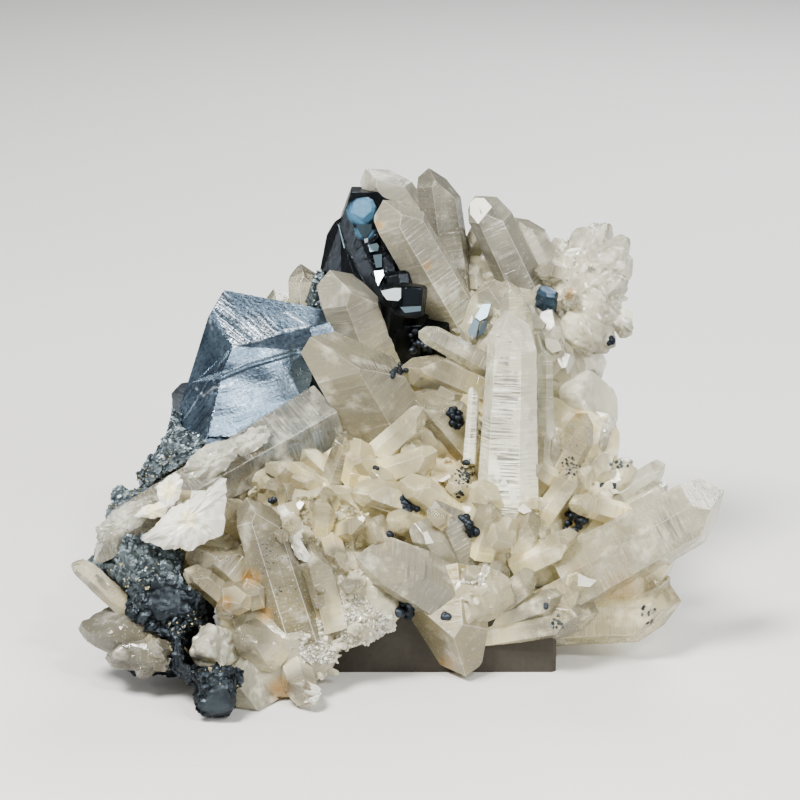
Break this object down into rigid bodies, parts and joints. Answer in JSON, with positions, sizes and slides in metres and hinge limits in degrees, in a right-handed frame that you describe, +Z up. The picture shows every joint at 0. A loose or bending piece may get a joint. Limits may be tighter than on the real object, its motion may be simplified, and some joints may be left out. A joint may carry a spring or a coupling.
{
  "type": "bournonite specimen",
  "caption": "Quartz crystal cluster with metallic blue-grey bournonite crystals, on a small display block.",
  "frame": {"origin": "centre of the display block's underside", "axes": "+Z up, +X to the right as the specimen's front is seen, -Y towards the viewer of the front"},
  "size_m": [0.1127, 0.0948, 0.0777],
  "materials": {
    "quartz": "translucent, glassy faces with fine striations",
    "bournonite": "metallic, blue-grey, striated",
    "sulphide": "granular, glittering",
    "block": "matte"
  },
  "bodies": {
    "root": {"quartz_cluster": "quartz", "sulphide_matrix": "sulphide", "bournonite_large": "bournonite", "bournonite_cogwheel": "bournonite", "bournonite_small_left": "bournonite", "bournonite_small_right": "bournonite", "beads_upper": "bournonite", "beads_middle": "bournonite", "beads_centre": "bournonite", "beads_right": "bournonite", "beads_lower": "bournonite", "display_block": "block"}
  },
  "joints": []
}
